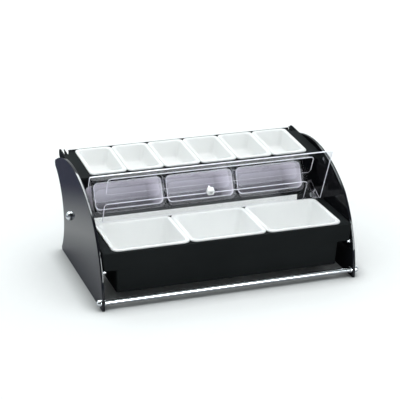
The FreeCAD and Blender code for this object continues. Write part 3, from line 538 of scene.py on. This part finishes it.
def container(size, depth, rim, lip, wall, draft, slope, corner, floor_round):
    """Open container about its rim's underside: rounded rectangles whose inset, height, corner and
    share of the front slope run along one profile, up the outside, over the rim and down inside."""
    base, floor = rim + draft, rim + wall + draft
    base_flat, floor_flat = 9.0, floor_round * 1.6
    inner, least = corner - wall, 2.0
    base_corner, floor_corner = max(corner - 6.0, least), max(inner - 2.0, least)
    cuts = [floor_round * 0.8, 1.0, 0.8, lip * 0.42, 2.2, floor_round]
    rows = softened([
        (base + base_flat, -depth, 0, 1, base_corner),
        (base, -depth, 0, 1, corner),
        (rim, 0, 0, 0, corner),
        (0, 0, 0, 0, corner),
        (0, lip, 0, 0, corner),
        (rim + wall, lip, 0, 0, inner),
        (floor, wall - depth, 0, 1, inner),
        (floor + floor_flat, wall - depth, 0, 1, floor_corner),
    ], cuts)
    inset, height, share, radius = rows[:, 0], rows[:, 1], rows[:, 3], rows[:, 4]
    half_x, half_y = size[0] / 2, size[1] / 2
    x, y = rounded_rings(
        inset - half_x, half_x - inset, inset + share * slope - half_y, half_y - inset, radius)
    z = np.broadcast_to(height[:, None], x.shape)
    return np.stack([x, y, z], -1)


def add_wide_dish(word, x):
    """Deep white dish in the tub's deck."""
    rings = container(size=(149.4, 139.4), depth=64.0, rim=5.0, lip=3.5, wall=2.2, draft=9.0,
                      slope=0.0, corner=13.0, floor_round=7.0)
    rings = rings + [x, (TUB_FRONT + TUB_REAR) / 2, TUB_TOP]
    piece(f"wide_dish_{word}_moulding", *closed_rings(rings), [WHITE], "stand", "white_plastic",
          [f"wide_dish_{word}"])


def add_narrow_dish(n, x):
    """Shallow white dish in the tray, its front wall sloping to a short floor."""
    back, above = 71.3, 0.3
    rings = container(size=(73.0, 128.0), depth=30.986, rim=5.0, lip=3.5, wall=2.2, draft=5.0,
                      slope=47.0, corner=10.0, floor_round=5.0)
    rings = leaned(rings + [x, back, above], TRAY, TRAY_TILT)
    piece(f"narrow_dish_{n}_moulding", *closed_rings(rings), [WHITE], f"narrow_dish_{n}",
          "white_plastic", [f"narrow_dish_{n}"])


def add_bin(word, x):
    """Clear bin lying on the rack, its mouth leaning with the rack's front: the rim's inner turn has a
    painted glow and the flat of its flange is painted dark."""
    width, tall = 143.4, 61.0
    rim, lip, wall = 4.0, 3.0, 2.2
    rings = container(size=(width, tall), depth=90.0, rim=rim, lip=lip, wall=wall, draft=4.0,
                      slope=-4.0, corner=11.0, floor_round=4.0)
    inset = width / 2 - rings[..., 0].max(1)
    inset = (inset[:-1] + inset[1:]) / 2
    height = (rings[:-1, 0, 2] + rings[1:, 0, 2]) / 2
    slack, turn_width = 0.5, 2.4
    flange = (height > -slack) & (inset < rim + wall + slack)
    inner_turn = (height > 0) & (inset > rim + wall - turn_width)
    # The inner turn takes the finish with its painted glow, the flange's flat the finish painted dark.
    marks = np.where(inner_turn, 1, np.where(flange, 2, 0))
    rings = leaned(rings, (0, 0), math.pi / 2)
    rings = leaned(rings + [x, lip, tall / 2], RACK, -RACK_TILT)
    points, faces = closed_rings(rings)
    marks = row_marks(marks, rings.shape[1])
    piece(f"clear_bin_{word}_moulding", points, faces, [PAINTED_SHADE_GLOW_MOULDING, PAINTED_GLOW_EDGE, PAINTED_DARK_FLANGE], "stand",
          "clear_plastic", [f"clear_bin_{word}"], marks)


def add_tub():
    """Tub as rounded rectangles up the raked body, out to the collar, over the rim and down inside;
    a row is half width, front, height, rear and corner."""
    front, rear, top = TUB_FRONT, TUB_REAR, TUB_TOP
    foot, step, seat = 24.0, 73.0, 105.7
    half, collar_half, body_half, foot_half, floor_half = 243.0, 242.0, 218.0, 217.0, 204.0
    step_front, step_rear = -163.593, -23.076
    foot_front, foot_rear = front + 13.5, rear - 9.0
    wall, ledge, bend, rake = 2.4, 4.2, 12.0, 0.5
    outer, inner = 4.0, 3.0
    cuts = [2.5, 0.3, 0.8, 0.9, 0.7, 0.2, 0.2, 1.0, 1.0, 3.0]
    rows = softened([
        (foot_half - bend, foot_front + bend, foot, foot_rear - bend, outer),
        (foot_half, foot_front, foot, foot_rear, outer),
        (body_half, step_front + rake, step, step_rear - rake, outer),
        (collar_half, step_front, step, step_rear, outer),
        (half, front, top, rear, outer),
        (half - wall, front + wall, top, rear - wall, inner),
        (half - wall, front + wall, seat, rear - wall, inner),
        (half - ledge, front + ledge, seat, rear - ledge, inner),
        (collar_half - ledge, step_front + ledge, step + wall, step_rear - ledge, inner),
        (body_half - wall, step_front + wall, step + wall, step_rear - wall, inner),
        (foot_half - wall, foot_front + wall, foot + wall, foot_rear - wall, inner),
        (floor_half, foot_front + bend, foot + wall, foot_rear - bend, inner),
    ], cuts)
    x, y = rounded_rings(-rows[:, 0], rows[:, 0], rows[:, 1], rows[:, 3], rows[:, 4], steps=7)
    z = np.broadcast_to(rows[:, 2:3], x.shape)
    rings = np.stack([x, y, z], -1)
    piece("ice_tub", *closed_rings(rings), [SATIN], "stand", "black_plastic", ["lower_tub"])


# Hinged lid, in its own Y and Z about the hinge

LID_HALF = 241.5
LID_LOW, LID_HIGH = 6.0, 144.0
LID_BACK, LID_THICK = -24.0, 3.0
LID_EDGE, LID_CORNER = 0.6, 4.0
FIELDS = ((16.0, 66.0), (91.0, 132.0))
FIELD_HALF, FIELD_CORNER, FIELD_RECESS, FIELD_STEP = 205.0, 7.0, 0.8, 1.2
KNOB_HEIGHT = 78.5


def lid_lines(low, high, borders, spacing):
    """Grid stations across the sheet: round edge, corner, and close steps at the fields' borders."""
    fine_reach, fine_step, margin = 8.0, 0.4, 5.0
    edge = LID_EDGE * (1 - np.sin(np.linspace(0, math.pi / 2, 5)))
    corner = np.linspace(1, LID_CORNER, 4)
    fine = np.concatenate([b + s * np.arange(-FIELD_STEP, fine_reach, fine_step) for b, s in borders])
    plain = np.arange(low + margin, high - margin, spacing)
    stations = np.concatenate([low + edge, low + corner, fine, plain, high - corner, high - edge])
    return np.unique(np.round(stations, 3))


def lid_outline(gx, gz):
    """The grid drawn in to round corners, and how far each face falls at the sheet's round edge: a
    quarter circle over the last stretch before the edge."""
    middle, half = (LID_LOW + LID_HIGH) / 2, (LID_HIGH - LID_LOW) / 2
    up = gz - middle
    flat_x, flat_z = LID_HALF - LID_CORNER, half - LID_CORNER
    a = np.clip((np.abs(gx) - flat_x) / LID_CORNER, 0, 1)
    b = np.clip((np.abs(up) - flat_z) / LID_CORNER, 0, 1)
    out_x = np.minimum(np.abs(gx), flat_x) + LID_CORNER * a * np.sqrt(1 - b * b / 2)
    out_z = np.minimum(np.abs(up), flat_z) + LID_CORNER * b * np.sqrt(1 - a * a / 2)
    reach = np.minimum((1 - np.maximum(a, b)) * LID_CORNER / LID_EDGE, 1.0)
    fall = LID_EDGE * (1 - np.sqrt(1 - (1 - reach) ** 2))
    return np.sign(gx) * out_x, middle + np.sign(up) * out_z, fall


def field_depth(gx, gz):
    """How far the back is sunk: a smooth step over the signed distance to a rounded field."""
    sunk = np.zeros_like(gx)
    for low, high in FIELDS:
        qx = np.abs(gx) - FIELD_HALF + FIELD_CORNER
        qz = np.abs(gz - (low + high) / 2) - (high - low) / 2 + FIELD_CORNER
        away = np.hypot(np.maximum(qx, 0), np.maximum(qz, 0)) + np.minimum(np.maximum(qx, qz), 0)
        t = np.clip(0.5 - (away - FIELD_CORNER) / FIELD_STEP, 0, 1)
        sunk += FIELD_RECESS * t * t * (3 - 2 * t)
    return sunk


def lid_sheet():
    """Clear sheet on one grid of stations, front and back: the back is sunk in the fields, and both
    faces turn down a round edge to meet. The fields' borders and the sheet's edges, but for the
    lower edge, are marked for the edge finish with its painted glow."""
    x = lid_lines(-LID_HALF, LID_HALF, [(-FIELD_HALF, 1), (FIELD_HALF, -1)], spacing=14.0)
    ends = [(z, s) for low, high in FIELDS for z, s in ((low, 1), (high, -1))]
    z = lid_lines(LID_LOW, LID_HIGH, ends, spacing=6.0)
    gx, gz = np.meshgrid(x, z)
    sx, sz, fall = lid_outline(gx, gz)
    sunk = field_depth(gx, gz)
    back = np.stack([sx, LID_BACK - fall - sunk, sz], -1)
    front = np.stack([sx, LID_BACK - LID_THICK + fall, sz], -1)
    rows, cols = gx.shape
    count = rows * cols
    index = np.arange(count).reshape(rows, cols)
    rim = np.concatenate([index[0], index[1:, -1], index[-1, -2::-1], index[-2:0:-1, 0]])
    after = np.roll(rim, -1)
    quads = grid_quads(rows, cols, False)
    strip = np.stack([rim, after, after + count, rim + count], 1)
    faces = np.concatenate([quads, quads[:, ::-1] + count, strip]).tolist()
    least_sunk, least_fall, lower_edge = 0.02, 0.05, 1.0
    # Faces marked here take the edge finish, whose pale colour and faint glow are a painted highlight.
    border = (sunk > least_sunk) & (sunk < FIELD_RECESS - least_sunk)
    lines = border.ravel()[quads].sum(1) >= 2
    bright = ((fall > least_fall) & (gz > LID_LOW + lower_edge)).ravel()
    turned_down = bright[quads].any(1)
    marks = np.concatenate([lines | turned_down, turned_down, bright[rim] & bright[after]])
    return np.concatenate([back.reshape(-1, 3), front.reshape(-1, 3)]), faces, marks


def lid_arm():
    """Arm from the sheet's lower corner back to a round boss on the hinge line: two arcs and the end
    at the sheet."""
    boss_radius, boss_start, boss_end = 7.0, -122, 8
    shoulder_radius, shoulder_start, shoulder_end = 2.5, 14, 90
    shoulder_place = np.array([1.0, 11.5])
    overlap, sheet_top = 0.05, 14.0
    sheet_back = LID_BACK - overlap
    turn = np.radians(np.linspace(boss_start, boss_end, 20))
    boss = boss_radius * np.stack([np.cos(turn), np.sin(turn)], 1)
    corner = np.radians(np.linspace(shoulder_start, shoulder_end, 8))
    shoulder = shoulder_place + shoulder_radius * np.stack([np.cos(corner), np.sin(corner)], 1)
    sheet_end = np.array([(sheet_back, sheet_top), (sheet_back, LID_LOW)])
    return np.concatenate([boss, shoulder, sheet_end])


def add_lid():
    """The sheet and its two arms, each arm with a painted glow along its outer edge."""
    points, faces, marks = lid_sheet()
    piece("lid_sheet", leaned(points, HINGE, LID_TILT), faces, [SHEET, PAINTED_GLOW_EDGE], "lid", "clear_plastic",
          ["lid_cover"], marks)
    width, edge, painted_glow_width = 6.0, 1.0, 1.2
    for word, side in SIDES:
        low, high = sorted((side * LID_HALF, side * (LID_HALF - width)))
        rings = slab(lid_arm(), low, high, edge)[..., THICK_ALONG_X]
        points, faces = closed_rings(leaned(rings, HINGE, LID_TILT))
        # Faces near the outer edge take the finish with its painted glow.
        out = np.abs(rings[:, 0, 0])
        bright = (out[:-1] + out[1:]) / 2 > LID_HALF - painted_glow_width
        marks = row_marks(bright, rings.shape[1])
        piece(f"lid_arm_{word}", points, faces, [SHEET, PAINTED_GLOW_EDGE], "lid", "clear_plastic",
              ["lid_cover"], marks)


def add_knob():
    """Square knob with soft edges on the lid's front: a slab of a rounded square."""
    half, corner, edge = 6.5, 3.0, 1.8
    near, far = 27.0, 38.0
    sides = (-half, half, KNOB_HEIGHT - half, KNOB_HEIGHT + half, corner)
    x, z = rounded_rings(*[np.array([v]) for v in sides])
    outline = np.stack([x[0], z[0]], 1)
    rings = slab(outline, near, far, edge)[..., THICK_ALONG_Y] * [1, -1, 1]
    points, faces = closed_rings(leaned(rings, HINGE, LID_TILT))
    piece("knob", points, faces, [WHITE], "lid", "white_plastic", ["lid_knob"])


def add_knob_screw():
    """Round head on the lid's back: a turned profile with a short skirt and a crown that is part of
    an ellipse, drawn in to a six-sided socket."""
    seat, radius = -LID_BACK, 4.0
    skirt, crown, crown_width = 0.8, 1.2, 1.6
    mouth, throat, bottom = 1.6, 1.5, 1.4
    throat_depth, depth = 0.5, 1.0
    seat_cap, socket_cap = 0.3, 0.2
    top = seat - skirt - crown
    t = np.linspace(0, math.pi / 2, 8)
    dome = np.stack([seat - skirt - crown * np.sin(t), radius - crown_width * (1 - np.cos(t))], 1)
    socket = [
        (top, mouth), (top + throat_depth, throat), (top + depth, bottom), (top + depth, socket_cap)]
    profile = np.concatenate([[(seat, seat_cap), (seat, radius)], dome, socket])
    six_sided = np.concatenate([np.zeros(len(profile) - 3), [1, 1, 0]])
    rings = turned(profile, (0.0, 0.0), steps=36, six_sided=six_sided)
    rings = np.stack([rings[..., 1], -rings[..., 0], rings[..., 2] + KNOB_HEIGHT], -1)
    points, faces = closed_rings(leaned(rings, HINGE, LID_TILT))
    piece("knob_screw_head", points, faces, [CHROME], "lid", "chrome", ["knob_screw"])


# The whole holder

def dress_solids():
    """Finishes of the solids that are shown as they are."""
    dressed = (
        (SATIN, ("container_deck", "upper_tray", "bin_rack", "lid_hinge_spacers")),
        (CHROME, ("rack_studs",)),
        (STEEL, ("tub_support_pins", "rack_support_pins", "lid_hinge_pins")),
    )
    for finish, nodes in dressed:
        for node in nodes:
            mesh = NODES[node].data
            mesh.materials.clear()
            mesh.materials.append(finish)


def build_holder():
    """All pieces; dishes and bins stand in rows about the middle."""
    wide_dish_spacing, bin_spacing, narrow_dish_spacing = 150.0, 144.0, 73.6
    narrow_dishes = 6
    dress_solids()
    add_panels()
    add_rod()
    add_cap_nuts()
    add_tray_screws()
    add_tub()
    for word, place in (("left", -1), ("centre", 0), ("right", 1)):
        add_wide_dish(word, wide_dish_spacing * place)
        add_bin(word, bin_spacing * place)
    for n in range(1, narrow_dishes + 1):
        add_narrow_dish(n, narrow_dish_spacing * (n - (narrow_dishes + 1) / 2))
    add_lid()
    add_knob()
    add_knob_screw()


# Floor, light and camera

def add_floor():
    """Pale floor, wide enough to fill the view. Painted shade darkens it in narrow gaps, and
    reflections see it as a ring of light about the holder, the rest painted dark: a painted reflection."""
    side = 8.0
    painted_shade_reach = 0.04
    # The floor's colour as reflections see it away from the ring of light: a painted reflection.
    dark = (0.03, 0.035, 0.10)
    mesh = bpy.data.meshes.new("floor")
    corners = [(-side, -side, 0), (side, -side, 0), (side, side, 0), (-side, side, 0)]
    mesh.from_pydata(corners, [], [(0, 1, 2, 3)])
    floor = bpy.data.objects.new("floor", mesh)
    show(floor)
    paper = Finish("pale_floor", Roughness=0.9, Specular_IOR_Level=0.1)
    paper.tint(paper.noise(2), (0.980, 0.982, 0.984), (0.990, 0.992, 0.994))
    base = paper.shader.inputs["Base Color"]
    # Painted shade: the floor's colour is darkened by occlusion in narrow gaps and under the holder.
    shade = paper.nodes.new("ShaderNodeAmbientOcclusion")
    shade.samples = 8
    shade.inputs["Distance"].default_value = painted_shade_reach
    paper.links.new(base.links[0].from_socket, shade.inputs["Color"])
    length = paper.nodes.new("ShaderNodeVectorMath")
    length.operation = "LENGTH"
    paper.links.new(paper.place, length.inputs[0])
    away = length.outputs["Value"]
    # Painted reflection: for reflections the floor goes dark near the holder and far away, leaving a
    # ring of light.
    far_dim = paper.step(away, low=0.34, high=0.64, at_low=0.0, at_high=0.9)
    near_dim = paper.step(away, low=0.27, high=0.40, at_low=0.42, at_high=0.0)
    path = paper.nodes.new("ShaderNodeLightPath")
    dim = paper.combine("MAXIMUM", far_dim, near_dim)
    dim = paper.combine("MULTIPLY", dim, path.outputs["Is Glossy Ray"])
    paper.links.new(paper.mix(dim, shade.outputs["Color"], dark), base)
    mesh.materials.append(paper.material)


def reflected_room(wiring):
    """Brightness of the surroundings in reflections, by degrees up from straight ahead and by how far
    to the right: dim in front, with one bright panel overhead and one low at the front right."""
    front_dimming, overhead_light, low_light = -0.88, 16.0, 15.0
    place = wiring.nodes.new("ShaderNodeTexCoord")
    direction = wiring.split(place.outputs["Generated"])
    right = direction["X"]
    ahead = wiring.combine("MULTIPLY", direction["Y"], -1.0)
    up = wiring.combine("DEGREES", wiring.combine("ARCTAN2", direction["Z"], ahead))
    front = wiring.band(up, low=6.0, high=78.0, soft=6.0)
    overhead = wiring.combine("MULTIPLY", wiring.band(up, low=92.0, high=138.0, soft=5.0),
                              wiring.band(right, low=-0.4, high=0.27, soft=0.03))
    low_panel = wiring.combine("MULTIPLY", wiring.band(up, low=-6.0, high=30.0, soft=4.0),
                               wiring.band(right, low=0.31, high=0.6, soft=0.03))
    room = wiring.combine("MULTIPLY_ADD", front, front_dimming, 1.0)
    room = wiring.combine("MULTIPLY_ADD", overhead, overhead_light, room)
    return wiring.combine("MULTIPLY_ADD", low_panel, low_light, room)


def add_surroundings():
    """White surroundings, a little dimmer as a light than as a background."""
    as_light, as_background = 0.85, 1.0
    world = bpy.data.worlds.new("studio")
    bpy.context.scene.world = world
    world.use_nodes = True
    wiring = Wiring(world.node_tree)
    sky = wiring.nodes["Background"]
    sky.inputs["Color"].default_value = (0.90, 0.97, 0.98, 1)
    path = wiring.nodes.new("ShaderNodeLightPath")
    seen = wiring.combine("MAXIMUM", path.outputs["Is Camera Ray"], path.outputs["Is Transmission Ray"])
    level = wiring.step(seen, 0.0, 1.0, as_light, as_background)
    level = wiring.step(path.outputs["Is Glossy Ray"], 0.0, 1.0, level, reflected_room(wiring))
    wiring.links.new(level, sky.inputs["Strength"])


def add_lamp():
    """One large soft lamp overhead, left out of reflections."""
    lamp = bpy.data.lights.new("soft_sun", "SUN")
    lamp.energy = 0.9
    lamp.angle = math.radians(60)
    lamp.color = (1.0, 0.98, 0.965)
    sun = bpy.data.objects.new("soft_sun", lamp)
    sun.visible_glossy = False
    sun.rotation_mode = "QUATERNION"
    sun.rotation_quaternion = Vector((-0.06, 0.12, -1.0)).to_track_quat("-Z", "Y")
    show(sun)


def add_camera():
    """Camera fitted to the photograph's view: focal length 3.745 frame widths."""
    yaw, pitch = 0.320624, 0.359292
    data = bpy.data.cameras.new("camera")
    data.sensor_width = 36.0
    data.lens = 134.83
    camera = bpy.data.objects.new("camera", data)
    camera.location = (-0.86306, -2.58530, 1.14888)
    level = math.cos(pitch)
    ahead = Vector((math.sin(yaw) * level, math.cos(yaw) * level, -math.sin(pitch)))
    camera.rotation_mode = "QUATERNION"
    camera.rotation_quaternion = ahead.to_track_quat("-Z", "Y")
    show(camera)
    bpy.context.scene.camera = camera


build_holder()
add_floor()
add_surroundings()
add_lamp()
add_camera()
bpy.context.scene.view_settings.view_transform = "Standard"
